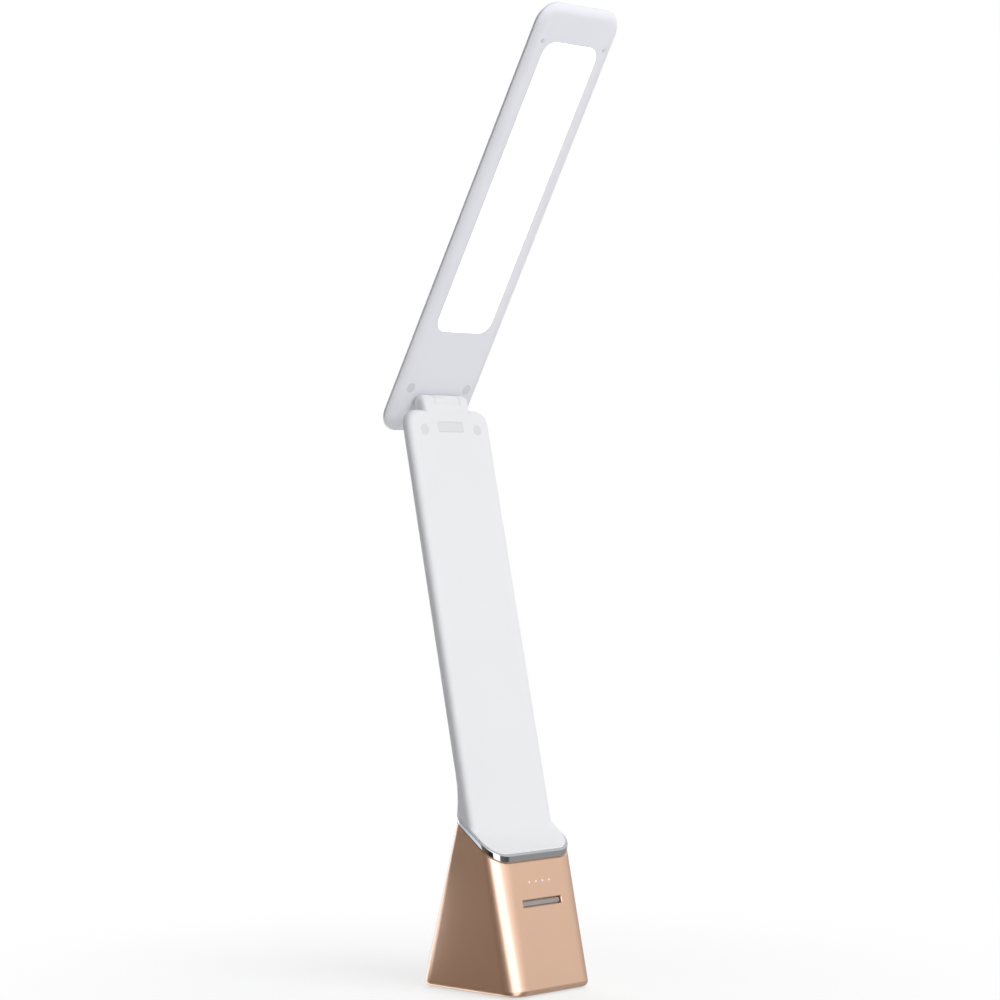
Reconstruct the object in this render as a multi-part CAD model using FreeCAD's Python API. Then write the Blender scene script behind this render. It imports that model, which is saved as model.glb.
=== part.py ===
import FreeCAD, Part
import math
import os

from FreeCAD import Placement, Rotation, Vector

# Rechargeable folding lamp: a weighted base, a fixed arm that leans back, and a lit head that
# folds down over the arm. Millimetres and degrees, +Z up, front towards -Y. The origin is on
# the table, under the middle of the base.

# Overall form
body_width = 56.8
lean = 12.4                  # base front and arm, back from the vertical
head_tilt = 28.95            # head at rest, forward from the vertical
part_gap = 0.1               # between pieces that are laid into each other
slide_gap = 0.25             # round pieces that move
screw_gap = 0.05             # round a screw's shank and head

# Base housing
base_depth = 66.0
base_back_lean = 18.0        # base back, forward from the vertical
front_corner = 9.0           # at the table
front_corner_high = 10.8     # at the ring
back_corner_low = 8.5
back_corner_high = 3.4
base_edge = 2.5
base_wall = 2.2
roof_wall = 2.4
foot_gap = 0.8               # table to the housing's lower edge

# Bottom cover, sole and weight
plate_recess = 0.6
plate_thick = 3.0
sole_recess = 0.5            # the sole's seat in the bottom cover
sole_margin = 4.0
sole_corner = 6.0
post_from_side = 8.5
post_from_end = 10.0
post_radius = 3.2
post_height = 13.0
rib_thick = 1.6
ballast_thick = 5.0
ballast_margin = 1.0
ballast_corner = 6.0

# Trim ring and the waist of the back
ring_front_height = 62.0     # table to the ring's lower edge, at the front
ring_slope = 36.0
ring_height = 3.1
ring_wall = 1.8
ring_proud = 0.8            # upper edge, outside the body
ring_sink = 0.3             # lower edge, inside the body
ring_edge = 0.5
waist_radius = 55.0

# Arm
arm_set_back = 10.4          # arm front behind the base front
arm_length = 206.85           # deck to the top edge
arm_thick_top = 5.7
arm_thick_foot = 7.2
arm_corner = 8.0
arm_front_roll = 3.6
arm_back_roll = 1.8
arm_front_wall = 2.4
arm_back_wall = 1.5
arm_parting = 3.4            # front face to the joint of the two shells
arm_seam_rise = 18.0         # deck to the lower end of the back cover
arm_channel_margin = 9.0     # body's side to the channel in the arm
deck_lip = 0.4
deck_inset = 0.15
deck_edge = 0.3
deck_blend = 16.0            # hollow rounding between the arm and the deck
deck_blend_fade = 6.0        # length over which it dies out towards the rolled edges
foot_screw_from_side = 7.5
foot_screw_from_back = 6.0
foot_screw_reach = 4.0

# Hinge
hinge_rise = 3.7             # arm top to the axis
hinge_set_back = 4.0         # arm front to the axis
fold_gap = 0.8               # between the faces of the folded lamp
tip_clearance = 3.8          # folded head's tip to the deck
barrel_radius = hinge_set_back   # flush with the arm's front
barrel_from_side = 12.4
barrel_end = 2.8             # rounding of the barrel's ends
ear_length = 7.0
washer_thick = 0.6
washer_gap = 0.1
washer_inset = 0.1           # below the barrel's surface
saddle_back = 1.0            # saddle's back inside the arm's back
pin_radius = 1.5
pin_start = 2.0
pin_head_radius = 2.4
pin_head_thick = 0.5
trunnion_radius = 2.3
trunnion_end = 4.0
run_gap = 0.08               # pin, trunnion and saddle at the knuckle
bracket_from_side = 5.6
yoke_plate_drop = 18.0
yoke_plate_top = 2.9

# Leads
lead_radius = 0.9
lead_room = 0.25
arm_lead_in_ear = 3.0        # the lead inside the ear's outer end
arm_lead_drop = 8.0          # arm top to where the lead turns to the axis
lead_bend = 2.8
lead_end_gap = 0.4           # between the two leads' ends in the hinge
battery_lead_radius = 0.7
battery_lead_x = 5.0

# Screws and their plugs
screw_radius = 1.0
screw_head_radius = 2.0
screw_head_thick = 1.0
plug_radius = 2.6
plug_thick = 0.8
arm_screw_from_side = 10.0
arm_screw_drop = 10.4
cover_half = 8.45
cover_height = 4.9
cover_drop = 6.6
cover_thick = 0.8
cover_corner = 0.8

# Head
head_overhang = 18.8         # low end past the axis
head_inset = 0.5             # head narrower than the base, each side
head_corner = 11.0
head_front_crown = 6.0       # radius of the rounding towards the rim
head_front_fall = 2.4        # depth of that rounding
head_back_crown = 8.0
head_back_fall = 2.6
frame_depth = 3.0            # lit face to the joint of the two shells
head_thick = 6.2
frame_wall = 1.6
window_from_side = 9.7
window_low = 36.6            # axis to the window's lower edge
window_tip_margin = 18.4
window_corner = 7.0
diffuser_sink = 0.1
diffuser_flange = 0.6
diffuser_lip = 1.6
guide_thick = 2.0
guide_from_side = 9.1
reflector_thick = 0.3
strip_thick = 1.0
strip_from_side = 6.9
chip_length = 3.0
chip_thick = 0.9
chip_height = 1.2
chip_pitch = 8.0
bracket_thick = 1.8
bracket_front = 2.4          # lit face to the knuckle's plate
bracket_low = 10.0
bracket_high = 12.0
pedestal_low = 3.4
pedestal_high = 1.0
head_screw_from_side = 8.9
head_screw_rise = 5.6
bumper_from_side = 6.7
bumper_radius = 1.1
bumper_sink = 1.0
bumper_proud = 0.3

# Button, indicators and boards
indicator_drop = 9.4         # ring to the indicators, along the front face
button_drop = 10.0           # indicators to the button
slot_half = 13.5
slot_height = 3.4
slot_corner = 0.8
slot_bevel = 0.3
button_gap = 0.5             # round the bar in its slot
button_sink = 1.0
button_flange = 1.0
button_flange_margin = 1.6
button_stem_radius = 2.0
button_stem = 1.1
button_travel = 0.6
indicator_count = 4
indicator_pitch = 4.6
pipe_radius = 0.45
pipe_gap = 0.03
board_depth = 9.0            # front face to the board's front
board_thick = 1.4
board_from_side = 8.4
board_above = 7.9            # indicators to the board's upper edge
board_below = 17.1           # button to the board's lower edge
board_corner = 1.5
board_screw_inset = 4.5
board_screw_margin = 5.5
board_post_radius = 2.4
switch_half = 3.0
switch_height = 3.4
plunger_radius = 1.7
plunger_play = 0.15
indicator_led_thick = 0.6
indicator_led_half = 0.8

# Battery and charging inlet
cell_radius = 9.15
cell_height = 35.0
cell_to_board = 1.3
cell_cap_radius = 2.8
cell_cap_thick = 0.8
cup_gap = 0.2
cup_wall = 1.5
cup_height = 11.0
inlet_board_height = 11.0
inlet_board_thick = 1.2
inlet_board_half = 10.0
inlet_board_gap = 0.6        # cell's cup to the charging board
inlet_post_inset = 3.0
inlet_post_radius = 2.4
inlet_half = 4.5
inlet_height = 3.3
inlet_wall = 0.35
inlet_length = 8.0
inlet_sink = 0.25
tongue_half = 3.3
tongue_thick = 0.7

# Frames: the lean frame has X across, Y into the lamp from the base's front face and Z up
# along it; the head frame has its origin on the hinge axis, Y away from the lit face and Z
# towards the tip.
lean_rad, slope_rad, back_rad = (math.radians(a) for a in (lean, ring_slope, base_back_lean))
table_front = Vector(0, -base_depth / 2, 0)
table_back = Vector(0, base_depth / 2, 0)
across = Vector(1, 0, 0)
lean_frame = Placement(table_front, Rotation(across, -lean))
up_front = lean_frame.Rotation.multVec(Vector(0, 0, 1))
up_back = Vector(0, -math.sin(back_rad), math.cos(back_rad))
ring_along = Vector(0, math.cos(slope_rad), math.sin(slope_rad))
ring_normal = Vector(0, -math.sin(slope_rad), math.cos(slope_rad))
ring_front = table_front + up_front * (ring_front_height / math.cos(lean_rad))
deck_rise = ring_height + deck_lip

# Half-widths that follow the body's width
half_width = body_width / 2
barrel_half = half_width - barrel_from_side
ear_inner = barrel_half - ear_length
knuckle_half = ear_inner - washer_thick - washer_gap * 2
bracket_half = half_width - bracket_from_side
window_half = half_width - window_from_side
guide_half = half_width - guide_from_side
strip_half = half_width - strip_from_side
board_half = half_width - board_from_side
board_screw_x = board_half - board_screw_inset
arm_screw_x = half_width - arm_screw_from_side
head_screw_x = half_width - head_screw_from_side
foot_screw_x = half_width - foot_screw_from_side
bumper_x = half_width - bumper_from_side
arm_lead_x = barrel_half - arm_lead_in_ear
head_half = half_width - head_inset

# Heights along the lean frame
indicator_height = ring_front_height / math.cos(lean_rad) - indicator_drop
button_height = indicator_height - button_drop
board_high = indicator_height + board_above
board_low = button_height - board_below
arm_front_foot = lean_frame.multVec(Vector(0, arm_set_back, 0))
deck_level = (deck_rise - (arm_front_foot - ring_front).dot(ring_normal)) / up_front.dot(ring_normal)
arm_top = deck_level + arm_length
arm_seam = deck_level + arm_seam_rise
arm_joint = arm_set_back + arm_parting
arm_back_top_depth = arm_set_back + arm_thick_top
arm_middle = arm_set_back + arm_thick_top / 2
hinge_depth = arm_set_back + hinge_set_back
hinge_level = arm_top + hinge_rise
head_frame = Placement(lean_frame.multVec(Vector(0, hinge_depth, hinge_level)),
                       Rotation(across, head_tilt))

# Depths and lengths along the head frame
lit_face = hinge_set_back + fold_gap
head_joint = lit_face + frame_depth
head_back = lit_face + head_thick
head_reach = arm_length + hinge_rise - tip_clearance
window_high = head_reach - window_tip_margin
frame_floor = lit_face + frame_wall
guide_front = frame_floor + diffuser_flange
guide_back = guide_front + guide_thick
stack_low = window_low - diffuser_lip
stack_high = window_high + diffuser_lip
bracket_face = lit_face + bracket_front

# Heights in the base
plate_low = foot_gap + plate_recess
plate_top = plate_low + plate_thick
post_x = body_width / 2 - post_from_side
post_y = base_depth / 2 - post_from_end
post_places = [(x, y) for x in (-post_x, post_x) for y in (-post_y, post_y)]


def placed(shape, frame):
    """Copy of a shape, taken from a local frame to the lamp's frame."""
    copy = shape.copy()
    copy.Placement = frame.multiply(copy.Placement)
    return copy


def box(x, y, z):
    """Box from three (low, high) pairs."""
    return Part.makeBox(x[1] - x[0], y[1] - y[0], z[1] - z[0], Vector(x[0], y[0], z[0]))


def rod(radius, start, end):
    """Cylinder between two points."""
    return Part.makeCylinder(radius, (end - start).Length, start, end - start)


def join(shapes):
    """One solid from touching shapes."""
    return shapes[0].fuse(shapes[1:]).removeSplitter()


def outline(half, low, high, low_corner, high_corner, at):
    """Rectangle with rounded corners; at(x, v) gives the place of a point."""
    bow = 1 - math.sqrt(0.5)

    def line(a, b):
        return Part.LineSegment(at(*a), at(*b)).toShape()

    def corner(a, side, end, radius, b):
        middle = (side * (half - bow * radius), end + bow * radius * (1 if end == low else -1))
        return Part.Arc(at(*a), at(*middle), at(*b)).toShape()

    front = [(-half + low_corner, low), (half - low_corner, low)]
    right = [(half, low + low_corner), (half, high - high_corner)]
    back = [(half - high_corner, high), (-half + high_corner, high)]
    left = [(-half, high - high_corner), (-half, low + low_corner)]
    return Part.Wire([
        line(*front), corner(front[1], 1, low, low_corner, right[0]),
        line(*right), corner(right[1], 1, high, high_corner, back[0]),
        line(*back), corner(back[1], -1, high, high_corner, left[0]),
        line(*left), corner(left[1], -1, low, low_corner, front[0])])


def plate(half, low, high, corner, near, far, middle=0.0):
    """Rounded plate that stands in X and Z, from Y near to Y far."""
    wire = outline(half, low, high, corner, corner, lambda x, z: Vector(x + middle, near, z))
    return Part.Face(wire).extrude(Vector(0, far - near, 0))


def edges_at(shape, test):
    """Edges whose points all pass a test."""
    return [edge for edge in shape.Edges if all(test(v.Point) for v in edge.Vertexes)]


def screw(seat, direction, length):
    """Pan-head screw: the head's underside on the seat, the shank along the direction."""
    way = Vector(direction).normalize()
    shank = rod(screw_radius, seat, seat + way * length)
    head = rod(screw_head_radius, seat, seat - way * screw_head_thick)
    return head.fuse(shank)


def screw_hole(seat, direction, length):
    """Room for a screw's shank."""
    return rod(screw_radius + screw_gap, seat, seat + Vector(direction).normalize() * length)


def screw_head_room(seat, direction):
    """Room for a screw's head, on the seat's near side."""
    return rod(screw_head_radius + screw_gap, seat,
               seat - Vector(direction).normalize() * (screw_head_thick + screw_gap))


def tube(points, bend, radius):
    """Round lead along straight runs that are joined by tangent arcs."""
    edges = []
    start = points[0]
    for before, point, after in zip(points, points[1:], points[2:]):
        way_in = (point - before).normalize()
        way_out = (after - point).normalize()
        half_turn = way_in.getAngle(way_out) / 2
        cut = bend * math.tan(half_turn)
        inward = (way_out - way_in).normalize()
        middle = point + inward * (bend / math.cos(half_turn) - bend)
        arc_start, arc_end = point - way_in * cut, point + way_out * cut
        edges.append(Part.LineSegment(start, arc_start).toShape())
        edges.append(Part.Arc(arc_start, middle, arc_end).toShape())
        start = arc_end
    edges.append(Part.LineSegment(start, points[-1]).toShape())
    ring = Part.Wire(Part.makeCircle(radius, points[0], points[1] - points[0]))
    return Part.Wire(edges).makePipeShell([ring], True, False)


# Side view of the back: the base's back line, a hollow arc at the waist and the arm's back line
arm_back_top = lean_frame.multVec(Vector(0, arm_back_top_depth, arm_top))
arm_back_foot = lean_frame.multVec(Vector(0, arm_set_back + arm_thick_foot, deck_level))
up_arm_back = (arm_back_top - arm_back_foot).normalize()


def crossing(start, way, other, other_way):
    """Where two lines of the side view meet."""
    return start + way * ((other - start).cross(other_way).x / way.cross(other_way).x)


waist_meet = crossing(table_back, up_back, arm_back_foot, up_arm_back)
waist_run = waist_radius * math.tan(up_back.getAngle(up_arm_back) / 2)
waist_low = waist_meet - up_back * waist_run
waist_high = waist_meet + up_arm_back * waist_run
waist_centre = waist_low + Vector(0, math.cos(back_rad), math.sin(back_rad)) * waist_radius


def ring_front_at(rise):
    """Front end of the ring plane that lies the given rise above the ring's lower face."""
    return ring_front + up_front * (rise / up_front.dot(ring_normal))


def ring_back_at(rise):
    """Back end of the same plane, on the base's back line, in the waist or on the arm."""
    start = ring_front_at(rise)
    on_line = crossing(start, ring_along, table_back, up_back)
    on_arm = crossing(start, ring_along, arm_back_top, up_arm_back)
    if on_line.z <= waist_low.z:
        return on_line
    if on_arm.z >= waist_high.z:
        return on_arm
    to_centre = waist_centre - start
    run = to_centre.dot(ring_along)
    aside = to_centre.dot(to_centre) - run * run
    return start + ring_along * (run - math.sqrt(waist_radius ** 2 - aside))


def ring_section(rise, inset):
    """Outline of the body in a ring plane, drawn in by the inset."""
    start = ring_front_at(rise)
    length = (ring_back_at(rise) - start).Length
    return outline(body_width / 2 - inset,
                   inset / math.cos(slope_rad + lean_rad),
                   length - inset / math.cos(slope_rad - back_rad),
                   front_corner_high - inset, max(back_corner_high - inset, base_wall / 4),
                   lambda x, v: start + ring_along * v + across * x)


def front_y(z, inset):
    """Base front at a height, drawn in by the inset."""
    return -base_depth / 2 + z * math.tan(lean_rad) + inset / math.cos(lean_rad)


def back_y(z, inset):
    """Base back at a height, drawn in by the inset."""
    return base_depth / 2 - z * math.tan(back_rad) - inset / math.cos(back_rad)


def table_section(z, inset):
    """Outline of the base in a level plane, drawn in by the inset."""
    return outline(body_width / 2 - inset, front_y(z, inset), back_y(z, inset),
                   front_corner - inset, back_corner_low - inset,
                   lambda x, y: Vector(x, y, z))


def level_plate(z_low, z_high, inset, corner):
    """Flat plate that fits inside the base between two heights."""
    wire = outline(body_width / 2 - inset, front_y(z_high, inset), back_y(z_high, inset),
                   corner, corner, lambda x, y: Vector(x, y, z_low))
    return Part.Face(wire).extrude(Vector(0, 0, z_high - z_low))


# Base housing: a leaning, hollow loft with a slanted roof, screw posts, board posts and the
# openings for the button, the indicators, the charging inlet and the arm's lead.
base_outer = Part.makeLoft([table_section(foot_gap, 0), ring_section(0, 0)], True, True)
lower_edges = edges_at(base_outer, lambda p: abs(p.z - foot_gap) < 0.01)
base_rounded = base_outer.makeFillet(base_edge, lower_edges)
base_inner = Part.makeLoft([table_section(0, base_wall), ring_section(-roof_wall, base_wall)], True, True)

board_back = board_depth + board_thick
board_screws_at = [(x, z) for x in (-board_screw_x, board_screw_x)
                   for z in (board_low + board_screw_margin, board_high - board_screw_margin)]
indicator_xs = [(i - (indicator_count - 1) / 2) * indicator_pitch for i in range(indicator_count)]
inlet_low = inlet_board_height + inlet_board_thick
inlet_middle = inlet_low + inlet_height / 2
inlet_back = back_y(inlet_middle, 0) - inlet_sink
inlet_front = inlet_back - inlet_length
foot_screw_seat = ring_back_at(0) - ring_along * foot_screw_from_back - ring_normal * roof_wall
foot_screw_length = roof_wall + deck_rise + foot_screw_reach

lead_turn = Vector(-arm_lead_x, arm_middle, (board_low + board_high) / 2 + board_screw_margin)
arm_lead_points = [Vector(-arm_lead_x, board_back, lead_turn.z), lead_turn,
                   Vector(-arm_lead_x, arm_middle, arm_top - arm_lead_drop),
                   Vector(-arm_lead_x, hinge_depth, hinge_level),
                   Vector(-trunnion_end, hinge_depth, hinge_level)]
arm_lead = placed(tube(arm_lead_points, lead_bend, lead_radius), lean_frame)
arm_lead_room = placed(tube(arm_lead_points, lead_bend, lead_radius + lead_room), lean_frame)


def post_with_rib(x, y):
    """Screw post of the bottom cover, with a rib to the side wall."""
    side = math.copysign(1, x)
    post = rod(post_radius, Vector(x, y, plate_top), Vector(x, y, plate_top + post_height))
    ends = sorted((x, side * body_width / 2))
    rib = box(ends, (y - rib_thick / 2, y + rib_thick / 2), (plate_top, plate_top + post_height))
    return post.fuse(rib)


def base_shell():
    posts = [post_with_rib(x, y).common(base_outer) for x, y in post_places]
    board_posts = [placed(rod(board_post_radius, Vector(x, base_wall / 2, z), Vector(x, board_depth, z)),
                          lean_frame) for x, z in board_screws_at]
    shell = join([base_rounded.cut(base_inner)] + posts + board_posts)
    holes = [screw_hole(Vector(x, y, plate_top), (0, 0, 1), post_height - base_wall)
             for x, y in post_places]
    holes += [placed(screw_hole(Vector(x, board_depth, z), (0, -1, 0), board_depth - base_wall),
                     lean_frame) for x, z in board_screws_at]
    holes += [screw_hole(foot_screw_seat + across * x, ring_normal, foot_screw_length)
              for x in (-foot_screw_x, foot_screw_x)]
    holes += [screw_head_room(foot_screw_seat + across * x, ring_normal) for x in (-foot_screw_x, foot_screw_x)]
    slot = plate(slot_half, button_height - slot_height / 2, button_height + slot_height / 2,
                 slot_corner, -base_wall, base_wall * 2)
    bevel = Part.makeLoft([
        outline(slot_half + wider, button_height - slot_height / 2 - wider, button_height + slot_height / 2 + wider,
                slot_corner + wider, slot_corner + wider, lambda x, v: Vector(x, slot_bevel - wider, v))
        for wider in (slot_bevel, 0)], True, True)
    pipes = [rod(pipe_radius + pipe_gap, Vector(x, -base_wall, indicator_height),
                 Vector(x, base_wall * 2, indicator_height)) for x in indicator_xs]
    inlet = plate(inlet_half + slide_gap, inlet_low - slide_gap, inlet_low + inlet_height + slide_gap,
                  inlet_height / 2, inlet_front, table_back.y)
    return shell.cut(holes + [placed(s, lean_frame) for s in [slot, bevel] + pipes] + [inlet, arm_lead_room])


# Bottom cover: flat plate with the cell's cup, two posts for the charging board, and a seat for
# the rubber sole that covers its screws. The cell stands close behind the control board.
sole_top = plate_low + sole_recess
board_back_y = front_y(plate_top + cell_height, board_back)
cell_seat = Vector(0, board_back_y + cell_to_board + cell_radius, plate_top)
cup_radius = cell_radius + cup_gap
inlet_board_back = back_y(inlet_low, base_wall + slide_gap)
inlet_board_front = cell_seat.y + cup_radius + cup_wall + inlet_board_gap
inlet_post_y = (inlet_board_front + inlet_board_back) / 2
inlet_post_x = inlet_board_half - inlet_post_inset
inlet_posts = [Vector(x, inlet_post_y, plate_top) for x in (-inlet_post_x, inlet_post_x)]
upright = Vector(0, 0, 1)


def base_plate():
    body = level_plate(plate_low, plate_top, base_wall + part_gap, front_corner - base_wall)
    cup = rod(cup_radius + cup_wall, cell_seat, cell_seat + upright * cup_height)
    cup = cup.cut(rod(cup_radius, cell_seat, cell_seat + upright * cup_height))
    posts = [rod(inlet_post_radius, p, p + upright * (inlet_board_height - plate_top)) for p in inlet_posts]
    body = join([body, cup] + posts)
    cuts = [level_plate(plate_low, sole_top, base_wall + sole_margin - screw_gap, sole_corner)]
    for x, y in post_places:
        ceiling = Vector(x, y, sole_top)
        head_top = ceiling + upright * (screw_head_thick + part_gap)
        cuts.append(rod(screw_head_radius + screw_gap, ceiling, head_top))
        cuts.append(rod(screw_radius + screw_gap, head_top, Vector(x, y, plate_top)))
    return body.cut(cuts)


def rubber_sole():
    pad = level_plate(0, sole_top, base_wall + sole_margin, sole_corner)
    rim = edges_at(pad, lambda p: abs(p.z) < 0.01)
    return pad.makeChamfer(sole_recess / 2, rim)


def base_plate_screws():
    seat = sole_top + screw_head_thick + part_gap
    return Part.makeCompound([screw(Vector(x, y, seat), upright, plate_thick + post_height / 2)
                              for x, y in post_places])


def ballast_plate():
    top = plate_top + ballast_thick
    body = level_plate(plate_top, top, base_wall + ballast_margin, ballast_corner)
    margin = slide_gap * 2
    cuts = [rod(cup_radius + cup_wall + margin, cell_seat, cell_seat + upright * ballast_thick)]
    cuts += [rod(inlet_post_radius + margin, p, p + upright * ballast_thick) for p in inlet_posts]
    for x, y in post_places:
        room = post_radius + margin
        ends = sorted((x, math.copysign(body_width / 2, x)))
        cuts.append(rod(room, Vector(x, y, plate_top), Vector(x, y, top)))
        cuts.append(box(ends, (y - room, y + room), (plate_top, top)))
    return body.cut(cuts)


# Cell, its leads and the control board with switch and indicator LEDs
def battery_cell():
    top = cell_seat + upright * (cell_height - cell_cap_thick)
    cap = rod(cell_cap_radius, top, top + upright * cell_cap_thick)
    can = rod(cell_radius, cell_seat, top)
    rims = [e for e in can.Edges if e.Closed]
    return join([can.makeFillet(cell_cap_thick, rims), cap])


def battery_leads():
    to_lean = lean_frame.inverse()
    can_top = cell_seat + upright * (cell_height - cell_cap_thick)
    leads = []
    for x in (-battery_lead_x, battery_lead_x):
        start = to_lean.multVec(can_top + across * x)
        above = to_lean.multVec(can_top + across * x + upright * (lead_bend * 2))
        end = Vector(x, board_back, above.z)
        leads.append(placed(tube([start, above, end], lead_bend, battery_lead_radius), lean_frame))
    return Part.makeCompound(leads)


def control_board():
    board = plate(board_half, board_low, board_high, board_corner, board_depth, board_back)
    holes = [rod(screw_radius + screw_gap, Vector(x, board_depth, z), Vector(x, board_back, z))
             for x, z in board_screws_at]
    return placed(board.cut(holes), lean_frame)


def board_screws():
    length = board_thick + board_depth - base_wall * 2
    return Part.makeCompound([placed(screw(Vector(x, board_back, z), (0, -1, 0), length), lean_frame)
                              for x, z in board_screws_at])


def indicator_leds():
    near = board_depth - indicator_led_thick
    size = (-indicator_led_half, indicator_led_half)
    chips = [box([x + s for s in size], (near, board_depth), [indicator_height + s for s in size])
             for x in indicator_xs]
    return Part.makeCompound([placed(chip, lean_frame) for chip in chips])


def indicator_light_pipes():
    far = board_depth - indicator_led_thick
    pipes = [rod(pipe_radius, Vector(x, 0, indicator_height), Vector(x, far, indicator_height))
             for x in indicator_xs]
    return Part.makeCompound([placed(pipe, lean_frame) for pipe in pipes])


# Bar button behind its slot, and the switch that it works
switch_front = board_depth - switch_height
flange_near = base_wall + slide_gap
flange_far = flange_near + button_flange
stem_far = flange_far + button_stem
plunger_far = switch_front + button_travel
button_low = button_height - slot_height / 2 + button_gap
button_high = button_height + slot_height / 2 - button_gap


def power_button():
    bar = plate(slot_half - button_gap, button_low, button_high, slot_corner, button_sink, flange_near)
    face = edges_at(bar, lambda p: abs(p.y - button_sink) < 0.01)
    flange = plate(slot_half + button_flange_margin, button_low - button_flange_margin,
                   button_high + button_flange_margin, slot_corner, flange_near, flange_far)
    stem = rod(button_stem_radius, Vector(0, flange_far, button_height), Vector(0, stem_far, button_height))
    return placed(join([bar.makeFillet(slide_gap, face), flange, stem]), lean_frame)


def switch_plunger():
    return placed(rod(plunger_radius, Vector(0, stem_far, button_height),
                      Vector(0, plunger_far, button_height)), lean_frame)


def tact_switch():
    body = box((-switch_half, switch_half), (switch_front, board_depth),
               (button_height - switch_half, button_height + switch_half))
    well = rod(plunger_radius + plunger_play, Vector(0, switch_front, button_height),
               Vector(0, plunger_far + button_travel + plunger_play, button_height))
    return placed(body.cut(well), lean_frame)


# Charging inlet at the back: a small level board with a hollow socket and its tongue
def charging_board():
    return box((-inlet_board_half, inlet_board_half), (inlet_board_front, inlet_board_back),
               (inlet_board_height, inlet_low))


def charging_socket():
    top = inlet_low + inlet_height
    shell = plate(inlet_half, inlet_low, top, inlet_height / 2 - part_gap, inlet_front, inlet_back)
    mouth = plate(inlet_half - inlet_wall, inlet_low + inlet_wall, top - inlet_wall,
                  inlet_height / 2 - part_gap - inlet_wall, inlet_front + inlet_wall * 2, inlet_back)
    tongue = box((-tongue_half, tongue_half), (inlet_front, inlet_back - inlet_wall * 2),
                 (inlet_middle - tongue_thick / 2, inlet_middle + tongue_thick / 2))
    return join([shell.cut(mouth), tongue])


# Chrome ring between the housing and the arm's foot
def trim_ring():
    outer = Part.makeLoft([ring_section(0, ring_sink), ring_section(ring_height, -ring_proud)], True, True)
    inner = Part.makeLoft([ring_section(0, ring_wall), ring_section(ring_height, ring_wall)], True, True)
    rims = [e for e in outer.Edges
            if all(abs(abs((v.Point - ring_front).dot(ring_normal) - ring_height / 2) - ring_height / 2) < 0.01
                   for v in e.Vertexes)]
    return outer.makeFillet(ring_edge, rims).cut(inner)


# Arm: one leaning blade with rolled edges, flared into the waist at the back and standing on
# the deck. It is split into a front shell with the foot and a back cover.
def arm_blade():
    front_low = crossing(ring_front_at(ring_height), ring_along, arm_front_foot, up_front)
    front_high = lean_frame.multVec(Vector(0, arm_set_back, arm_top))
    back_low = ring_back_at(ring_height)
    corners = [front_low, front_high, arm_back_top]
    edges = [Part.LineSegment(p, q).toShape() for p, q in zip(corners, corners[1:])]
    at = arm_back_top
    if back_low.z < waist_high.z:
        arc_end = back_low if back_low.z > waist_low.z else waist_low
        between = (waist_high + arc_end) * 0.5 - waist_centre
        bow = waist_centre + between.normalize() * waist_radius
        edges.append(Part.LineSegment(at, waist_high).toShape())
        edges.append(Part.Arc(waist_high, bow, arc_end).toShape())
        at = arc_end
    if (back_low - at).Length > 0.01:
        edges.append(Part.LineSegment(at, back_low).toShape())
    edges.append(Part.LineSegment(back_low, front_low).toShape())
    profile = Part.Wire(edges)
    profile.translate(across * (-body_width / 2))
    blade = Part.Face(profile).extrude(across * body_width)
    to_lean = lean_frame.inverse()
    at_top = edges_at(blade, lambda p: abs(to_lean.multVec(p).z - arm_top) < 0.01)
    blade = blade.makeFillet(arm_corner, [e for e in at_top if abs(e.Vertexes[0].X - e.Vertexes[1].X) < 0.01])

    def side_edge(shape, foot, way):
        return [e for e in edges_at(shape, lambda p: abs((p - foot).cross(way).x) < 0.01
                                    and abs(p.x - body_width / 2) < 0.01)]

    blade = blade.makeFillet(arm_front_roll, side_edge(blade, arm_front_foot, up_front))
    return blade.makeFillet(arm_back_roll, side_edge(blade, arm_back_top, up_arm_back))


blade = arm_blade()
far_side = body_width
arm_front_half = box((-far_side, far_side), (-base_depth, arm_joint), (0, arm_top + hinge_rise))
arm_foot_half = box((-far_side, far_side), (-base_depth, base_depth), (0, arm_seam))
front_region = placed(arm_front_half.fuse(arm_foot_half), lean_frame)
arm_screws_at = [Vector(x, arm_set_back, arm_top - arm_screw_drop) for x in (-arm_screw_x, arm_screw_x)]
channel_half = half_width - arm_channel_margin
channel = box((-channel_half, channel_half),
              (arm_set_back + arm_front_wall, arm_back_top_depth - arm_back_wall),
              (arm_seam, arm_top - yoke_plate_drop))
yoke_room = box((-bracket_half - part_gap, bracket_half + part_gap),
                (arm_set_back + arm_front_wall, arm_back_top_depth - arm_back_wall),
                (arm_top - yoke_plate_drop - part_gap, arm_top - yoke_plate_top + part_gap))
saddle_depths = (arm_set_back, arm_back_top_depth - saddle_back)


def saddle_block(gap):
    """Foot of the hinge's ears, with rounded front corners and a gap round it."""
    block = box((-barrel_half - gap, barrel_half + gap), (saddle_depths[0] - gap, saddle_depths[1] + gap),
                (arm_top - yoke_plate_top, hinge_level))
    front_edges = edges_at(block, lambda p: abs(p.y - saddle_depths[0] + gap) < 0.01)
    upright_edges = [e for e in front_edges if abs(e.Vertexes[0].X - e.Vertexes[1].X) < 0.01]
    return block.makeFillet(barrel_end + gap, upright_edges)


saddle_room = saddle_block(part_gap)
axis_at = Vector(0, hinge_depth, hinge_level)
barrel_room = rod(barrel_radius + slide_gap + part_gap, axis_at - across * (barrel_half + part_gap),
                  axis_at + across * (barrel_half + part_gap))
arm_screw_seat = arm_set_back + plug_thick + screw_head_thick
arm_screw_length = arm_back_top_depth - arm_back_wall / 2 - arm_screw_seat


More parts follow.
